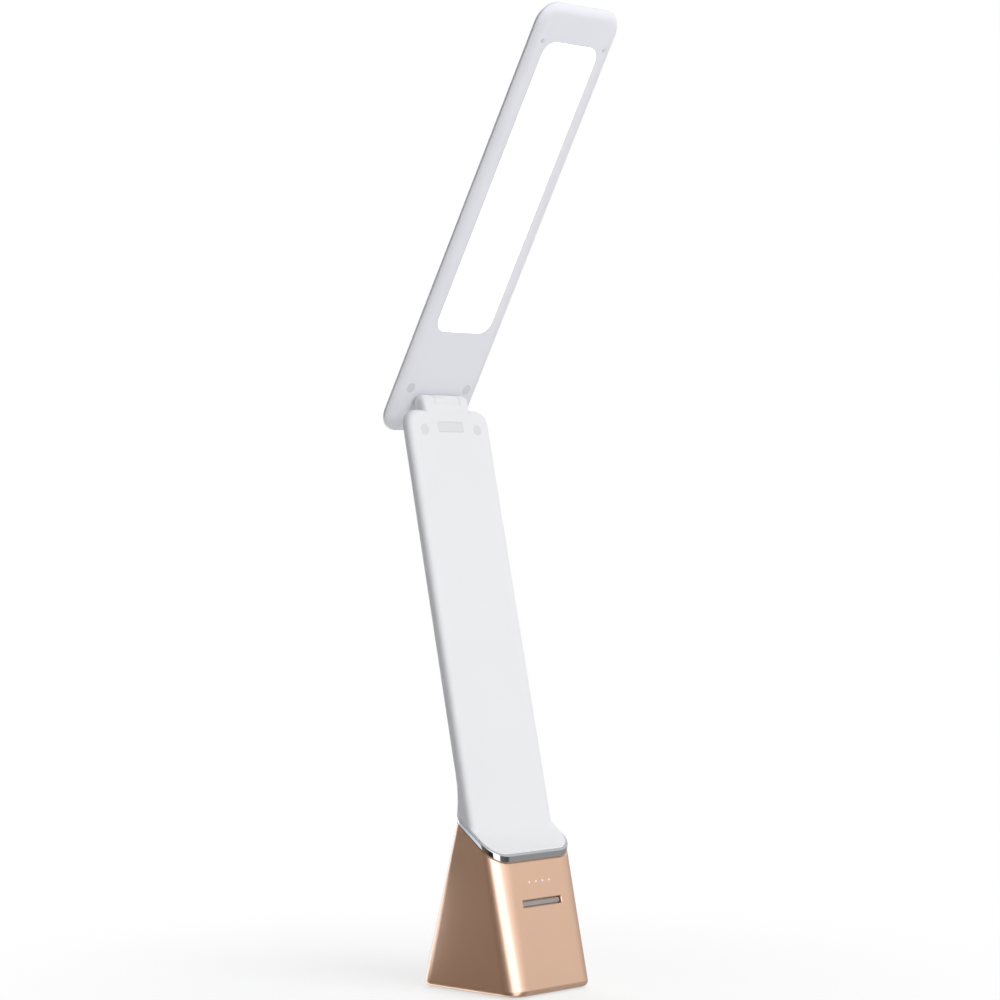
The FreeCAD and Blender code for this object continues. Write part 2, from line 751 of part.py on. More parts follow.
def arm_screw_room(at):
    """Stepped hole for a plug, the screw's head below it and the shank."""
    head_top = at + Vector(0, plug_thick, 0)
    seat = at + Vector(0, plug_thick + screw_head_thick, 0)
    return rod(plug_radius + screw_gap, at, head_top).fuse([
        rod(screw_head_radius + screw_gap, head_top, seat),
        screw_hole(seat, (0, 1, 0), arm_screw_length + part_gap)])


arm_cuts = [placed(s, lean_frame) for s in [channel, yoke_room, saddle_room, barrel_room] + [
    arm_screw_room(at) for at in arm_screws_at]] + [arm_lead_room]
cover_low = arm_top - cover_drop - cover_height


def deck_gusset():
    """Hollow rounding in the crease of arm and deck, dying out towards the arm's rolled edges."""
    crease = crossing(ring_front_at(deck_rise), ring_along, arm_front_foot, up_front)
    half_turn = ring_along.getAngle(up_front) / 2
    outward = (up_front - ring_along).normalize()
    flat_half = body_width / 2 - arm_front_roll

    def section(x, radius):
        at = crease + across * x
        low = at - ring_along * (radius * math.tan(half_turn))
        high = at + up_front * (radius * math.tan(half_turn))
        middle = at + outward * (radius / math.cos(half_turn) - radius)
        return Part.Wire([Part.LineSegment(low, at).toShape(), Part.LineSegment(at, high).toShape(),
                          Part.Arc(high, middle, low).toShape()])

    full = flat_half - deck_blend_fade
    return Part.makeLoft([section(-flat_half, deck_edge), section(-full, deck_blend),
                          section(full, deck_blend), section(flat_half, deck_edge)], True, True)


def arm_front_shell():
    lip = Part.makeLoft([ring_section(ring_height, deck_inset), ring_section(deck_rise, deck_inset)], True, True)
    brim = edges_at(lip, lambda p: abs((p - ring_front).dot(ring_normal) - deck_rise) < 0.01)
    lip = lip.makeFillet(deck_edge, brim)
    plug = Part.makeLoft([ring_section(0, ring_wall + part_gap),
                          ring_section(ring_height, ring_wall + part_gap)], True, True)
    body = join([blade.common(front_region), lip, plug, deck_gusset()])
    pocket = plate(cover_half + part_gap, cover_low - part_gap, cover_low + cover_height + part_gap,
                   cover_corner, arm_set_back - cover_thick, arm_set_back + cover_thick)
    screws = [screw_hole(foot_screw_seat + across * x, ring_normal, foot_screw_length)
              for x in (-foot_screw_x, foot_screw_x)]
    return body.cut(arm_cuts + [placed(pocket, lean_frame)] + screws)


def arm_back_cover():
    return blade.cut([front_region] + arm_cuts)


def arm_foot_screws():
    return Part.makeCompound([screw(foot_screw_seat + across * x, ring_normal, foot_screw_length - part_gap)
                              for x in (-foot_screw_x, foot_screw_x)])


# Hinge yoke in the arm's top: a plate between the shells, a saddle and two ears on the axis.
# The left ear carries a hollow trunnion that the lead passes through, the right ear the pin.


def arm_hinge_yoke():
    def on_axis(x):
        return axis_at + across * x

    base = box((-bracket_half, bracket_half), (arm_set_back + arm_front_wall, arm_back_top_depth - arm_back_wall),
               (arm_top - yoke_plate_drop, arm_top - yoke_plate_top))
    saddle = saddle_block(0)
    barrel = rod(barrel_radius, on_axis(-barrel_half), on_axis(barrel_half))
    barrel = barrel.makeFillet(barrel_end, [e for e in barrel.Edges if e.Closed])
    room = rod(barrel_radius + run_gap, on_axis(-ear_inner), on_axis(ear_inner))
    way = box((-ear_inner, ear_inner), (arm_set_back - barrel_radius, hinge_depth + barrel_radius * 2),
              (hinge_level - pedestal_high - slide_gap, hinge_level + barrel_radius * 2))
    trunnion = rod(trunnion_radius, on_axis(-ear_inner), on_axis(-trunnion_end))
    yoke = join([join([saddle, barrel]).cut([room, way]), base, trunnion])
    cuts = [screw_hole(at + Vector(0, arm_front_wall, 0), (0, 1, 0), arm_thick_top) for at in arm_screws_at]
    cuts += [rod(pin_radius + screw_gap, on_axis(pin_start), on_axis(barrel_half)),
             rod(pin_head_radius + screw_gap, on_axis(barrel_half - pin_head_thick), on_axis(barrel_half))]
    return placed(yoke.cut(cuts), lean_frame).cut(arm_lead_room)


def hinge_pin():
    shank = rod(pin_radius, axis_at + across * pin_start, axis_at + across * (barrel_half - pin_head_thick))
    head = rod(pin_head_radius, axis_at + across * (barrel_half - pin_head_thick), axis_at + across * barrel_half)
    return placed(shank.fuse(head), lean_frame)


def friction_washers():
    washers = []
    for side, bore in ((-1, trunnion_radius), (1, pin_radius)):
        near = axis_at + across * (side * (knuckle_half + washer_gap))
        far = axis_at + across * (side * (ear_inner - washer_gap))
        ring = rod(barrel_radius - washer_inset, near, far).cut(rod(bore + screw_gap, near, far))
        washers.append(placed(ring, lean_frame))
    return Part.makeCompound(washers)


def arm_hinge_screws():
    return Part.makeCompound([
        placed(screw(Vector(at.x, arm_screw_seat, at.z), (0, 1, 0), arm_screw_length), lean_frame)
        for at in arm_screws_at])


def arm_screw_plugs():
    return Part.makeCompound([placed(rod(plug_radius, at, at + Vector(0, plug_thick, 0)), lean_frame)
                              for at in arm_screws_at])


def hinge_access_cover():
    return placed(plate(cover_half, cover_low, cover_low + cover_height, cover_corner,
                        arm_set_back, arm_set_back + cover_thick), lean_frame)


# Head: a frame and a back cover, both rounded towards a narrow upright rim
head_screws_at = [Vector(x, lit_face, head_screw_rise) for x in (-head_screw_x, head_screw_x)]
head_screw_seat = lit_face + plug_thick + screw_head_thick
head_screw_length = head_back - frame_wall / 2 - head_screw_seat
bumpers_at = [Vector(x, lit_face, window_high) for x in (-bumper_x, bumper_x)]
stack_room = plate(strip_half + part_gap, stack_low - strip_thick - part_gap, stack_high + part_gap,
                   part_gap, frame_floor, guide_back + reflector_thick)
bracket_room = plate(bracket_half + part_gap, -bracket_low - part_gap, bracket_high + part_gap,
                     strip_thick, bracket_face, bracket_face + bracket_thick)
head_lead_points = [Vector(-trunnion_end + lead_end_gap, 0, 0), Vector(0, 0, 0),
                    Vector(0, guide_back - lead_radius, 0),
                    Vector(0, guide_back - lead_radius, stack_low - strip_thick)]
head_lead_room = tube(head_lead_points, lead_bend, lead_radius + lead_room)
head_screw_room = [rod(plug_radius + screw_gap, at, at + Vector(0, plug_thick, 0)).fuse([
    rod(screw_head_radius + screw_gap, at, at + Vector(0, plug_thick + screw_head_thick, 0)),
    screw_hole(at, (0, 1, 0), head_screw_seat - lit_face + head_screw_length + part_gap)])
    for at in head_screws_at]
head_cuts = [stack_room, bracket_room, head_lead_room] + head_screw_room


def head_slab(face, inward, crown, fall):
    """Head outline behind a face, rounded towards the rim down to the given fall."""
    step = crown - math.sqrt(crown ** 2 - (crown - fall) ** 2)
    ends = (face, face + inward * crown * 2)
    wide = plate(head_half + step, -head_overhang - step, head_reach + step, head_corner + step, *ends)
    wide = wide.makeFillet(crown, edges_at(wide, lambda p: abs(p.y - face) < 0.01))
    return wide.common(plate(head_half, -head_overhang, head_reach, head_corner, *ends))


def head_front_frame():
    slab = head_slab(lit_face, 1, head_front_crown, head_front_fall)
    far = head_length_box(lit_face, head_joint)
    window = plate(window_half, window_low, window_high, window_corner, lit_face, frame_floor)
    slot = plate(knuckle_half + part_gap, -pedestal_low - part_gap, pedestal_high + part_gap,
                 part_gap, lit_face, bracket_face)
    wells = [rod(bumper_radius + screw_gap, at, at + Vector(0, bumper_sink, 0)) for at in bumpers_at]
    return placed(slab.common(far).cut([window, slot] + wells + head_cuts), head_frame)


def head_length_box(near, far):
    """Box over the whole head between two depths."""
    return box((-body_width, body_width), (near, far), (-head_reach, head_reach * 2))


def head_back_cover():
    slab = head_slab(head_back, -1, head_back_crown, head_back_fall)
    return placed(slab.common(head_length_box(head_joint, head_back)).cut(head_cuts), head_frame)


def diffuser_panel():
    pane = plate(window_half - part_gap, window_low + part_gap, window_high - part_gap,
                 window_corner - part_gap, lit_face + diffuser_sink, frame_floor)
    flange = plate(window_half + diffuser_lip, stack_low, stack_high, window_corner, frame_floor, guide_front)
    return placed(join([pane, flange]), head_frame)


def light_guide():
    return placed(plate(guide_half, stack_low, stack_high, strip_thick / 2, guide_front, guide_back), head_frame)


def reflector_sheet():
    return placed(plate(strip_half, stack_low, stack_high, strip_thick / 2,
                        guide_back, guide_back + reflector_thick), head_frame)


def led_board():
    depths = (guide_front, guide_back)
    levels = (stack_low - strip_thick, stack_high)
    cross = box((-strip_half, strip_half), depths, (levels[0], stack_low))
    legs = [box((side * (strip_half - strip_thick / 2) - strip_thick / 2,
                 side * (strip_half - strip_thick / 2) + strip_thick / 2), depths, levels) for side in (-1, 1)]
    return placed(join([cross] + legs), head_frame)


def led_chips():
    middle = (guide_front + guide_back) / 2
    count = int((stack_high - stack_low) / chip_pitch)
    first = (stack_low + stack_high - (count - 1) * chip_pitch) / 2
    chips = []
    for i in range(count):
        z = first + i * chip_pitch
        for side in (-1, 1):
            wall = side * (strip_half - strip_thick)
            ends = sorted((wall, wall - side * chip_thick))
            chips.append(placed(box(ends, (middle - chip_height / 2, middle + chip_height / 2),
                                    (z - chip_length / 2, z + chip_length / 2)), head_frame))
    return Part.makeCompound(chips)


def head_hinge_knuckle():
    barrel = rod(barrel_radius, across * -knuckle_half, across * knuckle_half)
    pedestal = box((-knuckle_half, knuckle_half), (0, bracket_face), (-pedestal_low, pedestal_high))
    base = plate(bracket_half, -bracket_low, bracket_high, strip_thick, bracket_face, bracket_face + bracket_thick)
    cuts = [rod(pin_radius + run_gap, across * (pin_start - slide_gap), across * knuckle_half),
            rod(trunnion_radius + run_gap, across * -knuckle_half, across * (slide_gap - trunnion_end))]
    cuts += [screw_hole(at, (0, 1, 0), head_thick) for at in head_screws_at]
    return placed(join([barrel, pedestal, base]).cut(cuts + [head_lead_room]), head_frame)


def head_hinge_screws():
    return Part.makeCompound([
        placed(screw(Vector(at.x, head_screw_seat, at.z), (0, 1, 0), head_screw_length), head_frame)
        for at in head_screws_at])


def head_screw_plugs():
    return Part.makeCompound([placed(rod(plug_radius, at, at + Vector(0, plug_thick, 0)), head_frame)
                              for at in head_screws_at])


def tip_bumpers():
    pips = []
    for at in bumpers_at:
        pip = rod(bumper_radius, at - Vector(0, bumper_proud, 0), at + Vector(0, bumper_sink, 0))
        rim = edges_at(pip, lambda p: abs(p.y - lit_face + bumper_proud) < 0.01)
        pips.append(placed(pip.makeFillet(bumper_proud * 0.9, rim), head_frame))
    return Part.makeCompound(pips)


def head_lead():
    return placed(tube(head_lead_points, lead_bend, lead_radius), head_frame)


pieces = [base_shell, base_plate, rubber_sole, base_plate_screws, ballast_plate, battery_cell, battery_leads,
          control_board, board_screws, indicator_leds, indicator_light_pipes, power_button, switch_plunger,
          tact_switch, charging_board, charging_socket, trim_ring, arm_front_shell, arm_back_cover,
          arm_foot_screws, arm_hinge_yoke, hinge_pin, friction_washers, arm_hinge_screws, arm_screw_plugs,
          hinge_access_cover, head_front_frame, head_back_cover, diffuser_panel, light_guide, reflector_sheet,
          led_board, led_chips, head_hinge_knuckle, head_hinge_screws, head_screw_plugs, tip_bumpers, head_lead]
shapes = {piece.__name__: piece() for piece in pieces}
shapes["arm_lead"] = arm_lead

os.makedirs("parts", exist_ok=True)
for name, shape in shapes.items():
    shape.exportStep(f"parts/{name}.step")
    print(f"{name}: {len(shape.Solids)} solids, {shape.Volume / 1000:.2f} cm3, valid {shape.isValid()}")
print("hinge axis", head_frame.Base, "fold to closed", 180 - lean - head_tilt, "to straight", -lean - head_tilt)
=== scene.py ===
import math

import bpy
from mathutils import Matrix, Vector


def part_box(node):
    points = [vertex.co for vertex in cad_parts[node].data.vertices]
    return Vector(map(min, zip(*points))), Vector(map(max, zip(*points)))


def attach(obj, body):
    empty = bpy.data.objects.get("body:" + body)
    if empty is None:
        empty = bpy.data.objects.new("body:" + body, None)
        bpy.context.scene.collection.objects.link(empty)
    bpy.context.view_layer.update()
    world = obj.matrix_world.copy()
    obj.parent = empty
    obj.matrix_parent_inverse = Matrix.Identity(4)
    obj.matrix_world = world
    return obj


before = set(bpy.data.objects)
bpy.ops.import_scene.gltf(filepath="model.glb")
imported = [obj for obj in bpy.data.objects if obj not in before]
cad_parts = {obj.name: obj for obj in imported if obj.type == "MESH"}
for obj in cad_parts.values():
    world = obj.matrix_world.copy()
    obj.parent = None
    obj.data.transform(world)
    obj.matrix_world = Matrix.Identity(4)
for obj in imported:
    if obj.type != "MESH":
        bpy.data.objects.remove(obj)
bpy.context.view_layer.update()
bpy.ops.object.select_all(action="DESELECT")


# Bottom cover and sole: a moulded plate of black plastic closes the base from below on four
# screws, and one soft rubber pad is stuck into its seat over them.
class Socket:
    """A socket of a material's nodes. Arithmetic on it adds Math nodes."""

    def __init__(self, tree, socket=None):
        self.tree = tree
        self.socket = socket

    def node(self, kind, settings=None, output=0, **inputs):
        """Adds a node: its settings first, then the values or links of its sockets."""
        made = self.tree.nodes.new("ShaderNode" + kind)
        for name, value in (settings or {}).items():
            if name == "stops":
                ramp = made.color_ramp.elements
                while len(ramp) < len(value):
                    ramp.new(1.0)
                for stop, (place, colour) in zip(ramp, value):
                    stop.position = place
                    stop.color = (*colour, 1.0)
            else:
                setattr(made, name, value)
        for name, value in inputs.items():
            key = int(name[1:]) if name[0] == "_" else name.replace("_", " ")
            self.feed(made.inputs[key], value)
        return Socket(self.tree, made.outputs[output])

    def other(self, name):
        """Another output of the same node."""
        return Socket(self.tree, self.socket.node.outputs[name])

    def feed(self, target, value):
        """Links a socket to an input, or sets the input's value."""
        if isinstance(value, Socket):
            self.tree.links.new(value.socket, target)
        else:
            target.default_value = value

    def math(self, operation, first, second=0.0):
        return self.node("Math", {"operation": operation}, _0=first, _1=second)

    def __add__(self, other):
        return self.math("ADD", self, other)

    def __sub__(self, other):
        return self.math("SUBTRACT", self, other)

    def __mul__(self, other):
        return self.math("MULTIPLY", self, other)

    def __rsub__(self, other):
        return self.math("SUBTRACT", other, self)

    __radd__ = __add__
    __rmul__ = __mul__


def finish(name, **constants):
    """A new material with its shader's constant sockets set."""
    material = bpy.data.materials.new(name)
    material.use_nodes = True
    shader = material.node_tree.nodes["Principled BSDF"]
    for key, value in constants.items():
        shader.inputs[key.replace("_", " ")].default_value = value
    return material, Socket(material.node_tree), shader.inputs


def grain(sock, scale, detail=2.0, stretch=(1.0, 1.0, 1.0)):
    """Even noise over the piece, in its own coordinates, pulled out along an axis if asked."""
    place = sock.node("TexCoord", output="Object")
    place = sock.node("Mapping", Vector=place, Scale=stretch)
    return sock.node("TexNoise", Vector=place, Scale=scale, Detail=detail)


def tint(sock, into, mask, low, high):
    """Colour between two shades by a mask."""
    shade = sock.node("Mix", {"data_type": "RGBA"}, 2, _0=mask, _6=(*low, 1), _7=(*high, 1))
    sock.feed(into["Base Color"], shade)


def roughen(sock, into, mask, least, spread):
    """Roughness from a least value up to a spread above it, by a mask."""
    sock.feed(into["Roughness"], mask * spread + least)


def relief(sock, into, height, depth):
    """Fine surface relief of the given depth in metres."""
    sock.feed(into["Normal"], sock.node("Bump", Height=height, Strength=1.0, Distance=depth))


def dress(material, *nodes):
    """Gives a material to pieces of the frame."""
    for node in nodes:
        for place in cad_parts[node].material_slots:
            place.material = material


def moulded(name, low, high, rough, depth, scale=5200.0):
    """Injection-moulded plastic: even spark-eroded skin with faint flow shading."""
    spread = 0.14
    flow_scale = 26.0
    material, sock, into = finish(name)
    skin = grain(sock, scale, detail=1.0)
    tint(sock, into, grain(sock, flow_scale, detail=3.0), low, high)
    roughen(sock, into, skin, rough - spread / 2, spread)
    relief(sock, into, skin, depth)
    return material


black = moulded("black_plastic", low=(0.018, 0.018, 0.019), high=(0.028, 0.028, 0.030),
                rough=0.52, depth=3e-5)
dress(black, "base_plate", "tact_switch", "switch_plunger")
rubber = moulded("sole_rubber", low=(0.022, 0.022, 0.022), high=(0.034, 0.033, 0.032),
                 rough=0.82, depth=8e-5, scale=1900.0)
dress(rubber, "rubber_sole")

# Screws, weight and hinge pin: cold-headed and turned steel with a dull bright finish, fine
# turning lines and a little darker where it was handled.
steel, sock, into = finish("bright_steel", Metallic=1.0)
lines = grain(sock, scale=900.0, stretch=(1.0, 1.0, 9.0))
tint(sock, into, grain(sock, scale=180.0), low=(0.40, 0.40, 0.41), high=(0.62, 0.61, 0.60))
roughen(sock, into, lines, least=0.2, spread=0.2)
relief(sock, into, lines, depth=1.5e-5)
dress(steel, "base_plate_screws", "ballast_plate", "board_screws", "arm_foot_screws",
      "arm_hinge_screws", "head_hinge_screws", "hinge_pin")

# Battery and leads: a round cell in a shrunk sleeve stands in the cover's cup. Its two red leads
# go to the board, and a white one runs up the arm and through the hinge to the head.
sleeve, sock, into = finish("cell_sleeve", Coat_Weight=0.4, Coat_Roughness=0.15)
tint(sock, into, grain(sock, scale=60.0, detail=4.0),
     low=(0.03, 0.16, 0.27), high=(0.05, 0.23, 0.36))
roughen(sock, into, grain(sock, scale=700.0), least=0.25, spread=0.2)
relief(sock, into, grain(sock, scale=320.0, detail=3.0), depth=6e-5)
dress(sleeve, "battery_cell")
sheath, sock, into = finish("lead_sheath")
tint(sock, into, grain(sock, scale=240.0), low=(0.50, 0.035, 0.03), high=(0.62, 0.06, 0.045))
roughen(sock, into, grain(sock, scale=1400.0), least=0.36, spread=0.15)
relief(sock, into, grain(sock, scale=2600.0), depth=2e-5)
dress(sheath, "battery_leads")
pale_sheath = moulded("pale_sheath", low=(0.74, 0.74, 0.75), high=(0.80, 0.80, 0.81),
                      rough=0.45, depth=2e-5, scale=2600.0)
dress(pale_sheath, "arm_lead", "head_lead")

# Circuit boards: glass-fibre laminate, routed to shape and coated with green solder resist,
# through which the weave shows faintly. One stands behind the front, one carries the charging
# inlet, and a narrow one runs round the light guide.
resist, sock, into = finish("green_resist", Coat_Weight=0.5, Coat_Roughness=0.12)
weave_scale = 300.0
place = sock.node("TexCoord", output="Object")
weave, cross = [sock.node("TexWave", {"bands_direction": way}, Vector=place, Scale=weave_scale)
                for way in "XZ"]
tint(sock, into, weave * cross, low=(0.008, 0.085, 0.032), high=(0.016, 0.14, 0.055))
roughen(sock, into, weave, least=0.3, spread=0.06)
relief(sock, into, weave * cross, depth=1.5e-5)
dress(resist, "control_board", "charging_board", "led_board")

# Parts on the control board: a charging chip with bent legs, a wound choke in its case and a few
# chip capacitors are soldered to the board's back, above the cell.
lean = math.radians(12.4)
board_back = 0.0104                # base front to the back of the board
base_front = -0.033


def choose(kind, test):
    """Selects the vertices or polygons of the piece being edited whose place passes a test."""
    bpy.ops.object.mode_set(mode="OBJECT")
    mesh = bpy.context.object.data
    for group in (mesh.vertices, mesh.edges, mesh.polygons):
        group.foreach_set("select", [False] * len(group))
    for item in getattr(mesh, kind):
        item.select = test(item.co if kind == "vertices" else item.center)
    bpy.ops.object.mode_set(mode="EDIT")
    bpy.ops.mesh.select_mode(type="VERT" if kind == "vertices" else "FACE")


def extrude(shift):
    """Extrudes the chosen faces of the piece being edited by a shift."""
    bpy.ops.mesh.extrude_region_move(TRANSFORM_OT_translate={"value": shift})


def soften(piece, width, segments=2):
    """Rounds the edges of a piece and smooths its shading."""
    bevel = piece.modifiers.new("edge", "BEVEL")
    bevel.width = width
    bevel.segments = segments
    bpy.ops.object.modifier_apply(modifier=bevel.name)
    bpy.ops.object.shade_smooth_by_angle(angle=math.radians(35))


def pick(*pieces):
    """Selects pieces alone, the first of them active."""
    bpy.ops.object.select_all(action="DESELECT")
    for piece in pieces:
        piece.select_set(True)
    bpy.context.view_layer.objects.active = pieces[0]


def block(name, size, place):
    """A block of the given size at a place, left in object mode and chosen."""
    bpy.ops.object.select_all(action="DESELECT")
    bpy.ops.mesh.primitive_cube_add(size=1, location=place)
    piece = bpy.context.object
    piece.name = name
    bpy.ops.transform.resize(value=size)
    bpy.ops.object.transform_apply()
    return piece


def copied(piece, name, shift):
    """Another one of a piece, with its own mesh, moved by a shift."""
    pick(piece)
    bpy.ops.object.duplicate()
    twin = bpy.context.object
    twin.name = name
    bpy.ops.transform.translate(value=shift)
    bpy.ops.object.transform_apply()
    return twin


def merged(pieces, name):
    """One piece out of several."""
    pick(*pieces)
    bpy.ops.object.join()
    whole = bpy.context.object
    whole.name = name
    return whole


def onto_board(piece):
    """Turns a piece drawn on an upright board into the lean of the base's front."""
    pick(piece)
    piece.rotation_euler = (-lean, 0, 0)
    piece.location = (0, base_front, 0)
    bpy.ops.object.transform_apply()


def fitted(piece, material, body):
    """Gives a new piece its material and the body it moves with."""
    piece.data.materials.clear()
    piece.data.materials.append(material)
    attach(piece, body)


chip_size = (0.0050, 0.0014, 0.0040)
chip_up = 0.0555                   # table to the chip's middle, along the board
chip_off = 0.0009                  # board to the chip's middle
chip_taper = 0.94                  # its top against its foot
chip = block("charging_chip", chip_size, (0, board_back + chip_off, chip_up))
choose("vertices", lambda p: p.y > board_back + chip_off)
bpy.ops.transform.resize(value=(chip_taper, 1, chip_taper))
bpy.ops.object.mode_set(mode="OBJECT")
soften(chip, width=0.00012)
onto_board(chip)
resin = moulded("chip_resin", low=(0.016, 0.016, 0.018), high=(0.026, 0.026, 0.028),
                rough=0.55, depth=2e-5)
fitted(chip, resin, "base")

leg_size = (0.00042, 0.00016, 0.0009)
leg_first = -0.0019
leg_off = 0.0007                   # board to the leg where it leaves the chip
leg_up = 0.0579
leg_pitch = 0.00127
leg_knee = (0, -0.0005, 0.0003)    # down to the board
leg_toe = (0, -0.00002, 0.0005)    # and out along it
leg = block("chip_leg", leg_size, (leg_first, board_back + leg_off, leg_up))
choose("polygons", lambda p: p.z > leg_up + 0.4 * leg_size[2])
extrude(leg_knee)
extrude(leg_toe)
bpy.ops.object.mode_set(mode="OBJECT")
legs = [leg] + [copied(leg, "chip_leg", (leg_pitch * step, 0, 0)) for step in (1, 2, 3)]
upper = merged(legs, "chip_legs_upper")
lower = copied(upper, "chip_legs_lower", (0, 0, 0))
choose("vertices", lambda p: True)
bpy.ops.transform.mirror(constraint_axis=(False, False, True), center_override=(0, 0, chip_up))
bpy.ops.mesh.normals_make_consistent(inside=False)
bpy.ops.object.mode_set(mode="OBJECT")
legs = merged([upper, lower], "chip_legs")
soften(legs, width=0.00003, segments=1)
onto_board(legs)
fitted(legs, steel, "base")

choke_size = (0.0052, 0.0026, 0.0052)
choke_side = 0.0098                # base's middle to the choke's middle
choke_off = 0.0014                 # board to the choke's middle
choke_up = 0.0495
choke_rim = 0.0008
choke_dish = 0.0003
choke = block("choke", choke_size, (choke_side, board_back + choke_off, choke_up))
choose("polygons", lambda p: p.y > board_back + choke_off + 0.4 * choke_size[1])
bpy.ops.mesh.inset(thickness=choke_rim)
extrude((0, -choke_dish, 0))
bpy.ops.object.mode_set(mode="OBJECT")
soften(choke, width=0.00025)
onto_board(choke)
ferrite = moulded("choke_ferrite", low=(0.05, 0.05, 0.052), high=(0.085, 0.084, 0.082),
                  rough=0.6, depth=5e-5, scale=2400.0)
fitted(choke, ferrite, "base")

clay_size = (0.0016, 0.0007, 0.0008)
clay_first = -0.0050
clay_off = 0.0004                  # board to a capacitor's middle
clay_up = 0.0600
clay_pitch = 0.0026
row_drop = -0.0095                 # from the upper row to the lower one
end_swell = (1.28, 1.06, 1.06)     # of the tinned ends
chip_cap = block("chip_capacitors", clay_size, (clay_first, board_back + clay_off, clay_up))
choose("polygons", lambda p: abs(p.x - clay_first) > 0.4 * clay_size[0])
extrude((0, 0, 0))
bpy.ops.transform.resize(value=end_swell)
bpy.ops.object.mode_set(mode="OBJECT")
soften(chip_cap, width=0.00004, segments=1)
row = [chip_cap] + [copied(chip_cap, "chip_capacitor", (clay_pitch * step, 0, drop))
                    for step, drop in ((1, 0), (2, 0), (3, 0), (0, row_drop), (1, row_drop))]
row = merged(row, "chip_capacitors")
onto_board(row)
clay = moulded("fired_clay", low=(0.40, 0.30, 0.21), high=(0.50, 0.39, 0.28),
               rough=0.4, depth=1e-5)
fitted(row, clay, "base")


# Light sources: small moulded packages with a cap of yellow phosphor, on the board behind the
# indicators and along both edges of the head's light guide.
def lit(sock, into, mask, dim, full):
    """Light between two colours by a mask, each given as a place on the mask and a colour."""
    light = sock.node("ValToRGB", {"stops": [dim, full]}, Fac=mask)
    sock.feed(into["Emission Color"], light)


phosphor, sock, into = finish("phosphor", Emission_Strength=0.6, Roughness=0.3)
speck = grain(sock, scale=5200.0)
tint(sock, into, speck, low=(0.86, 0.74, 0.30), high=(0.96, 0.88, 0.52))
lit(sock, into, speck, dim=(0.3, (0.9, 0.82, 0.6)), full=(0.8, (1, 0.97, 0.88)))
dress(phosphor, "indicator_leds", "led_chips")

# Housing of the base: one hollow moulding that tapers to the waist, sprayed with a satin copper
# paint full of fine metal flake under a thin clear coat.
copper, sock, into = finish("copper_paint", Coat_Weight=0.45, Coat_Roughness=0.1)
flake = grain(sock, scale=7600.0, detail=1.0)
drift = grain(sock, scale=34.0, detail=3.0)
flake_share = 0.75                 # of the flake in the colour, the rest is the slow drift
metal_least = 0.66
metal_spread = 0.3
tint(sock, into, flake * flake_share + drift * (1 - flake_share),
     low=(0.70, 0.44, 0.295), high=(0.94, 0.625, 0.45))
sock.feed(into["Metallic"], flake * metal_spread + metal_least)
roughen(sock, into, flake, least=0.26, spread=0.12)
relief(sock, into, grain(sock, scale=1500.0), depth=5e-6)
dress(copper, "base_shell")

# Button and indicators: a bar of metallised grey plastic sits low in its slot, and four clear
# light pipes come out flush above it, lit in a cool lilac white.
button_grey, sock, into = finish("metallised_bar", Metallic=0.75)
brush = grain(sock, scale=1100.0, detail=3.0, stretch=(0.12, 1.0, 1.0))
tint(sock, into, brush, low=(0.36, 0.315, 0.295), high=(0.50, 0.45, 0.425))
roughen(sock, into, brush, least=0.3, spread=0.16)
relief(sock, into, brush, depth=1e-5)
dress(button_grey, "power_button")
pipe, sock, into = finish("lit_pipe", Roughness=0.3, Emission_Strength=0.42,
                          Base_Color=(0.86, 0.74, 0.84, 1))
lit(sock, into, grain(sock, scale=2400.0),
    dim=(0.2, (0.88, 0.62, 0.84)), full=(0.8, (1, 0.86, 0.98)))
dress(pipe, "indicator_light_pipes")

# Charging inlet: a drawn steel shell with a tongue in it, soldered to its board and let into the
# back of the housing. Gold-plated contacts lie on both sides of the tongue.
shell_steel, sock, into = finish("drawn_steel", Metallic=1.0)
tint(sock, into, grain(sock, scale=800.0), low=(0.52, 0.52, 0.53), high=(0.68, 0.68, 0.68))
drawn = grain(sock, scale=2200.0, stretch=(1.0, 0.1, 1.0))
roughen(sock, into, drawn, least=0.22, spread=0.15)
relief(sock, into, drawn, depth=8e-6)
dress(shell_steel, "charging_socket")
socket_low, socket_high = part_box("charging_socket")
mouth = socket_high[1]
tongue_middle = (socket_low[2] + socket_high[2]) / 2
contact_size = (0.00034, 0.0042, 0.00006)
contact_first = -0.0021
contact_pitch = 0.0007
contact_count = 7
contact_in = 0.0031                # mouth to a contact's middle
contact_rise = 0.00038             # tongue's middle to a contact's middle
contact_chamfer = 0.00025          # at the end towards the mouth
contact = block("inlet_contacts", contact_size,
                (contact_first, mouth - contact_in, tongue_middle + contact_rise))
choose("vertices", lambda p: p.y > mouth - contact_in and p.z > tongue_middle + contact_rise)
bpy.ops.transform.translate(value=(0, -contact_chamfer, 0))
bpy.ops.object.mode_set(mode="OBJECT")
soften(contact, width=0.00001, segments=1)
upper = merged([contact] + [copied(contact, "inlet_contact", (contact_pitch * step, 0, 0))
                            for step in range(1, contact_count)], "inlet_contacts")
lower = copied(upper, "inlet_contacts_lower", (0, 0, -2 * contact_rise))
contacts = merged([upper, lower], "inlet_contacts")
gold, sock, into = finish("gold_plate", Metallic=1.0)
tint(sock, into, grain(sock, scale=2600.0), low=(0.83, 0.60, 0.24), high=(0.93, 0.71, 0.33))
roughen(sock, into, grain(sock, scale=5200.0), least=0.16, spread=0.14)
fitted(contacts, gold, "base")

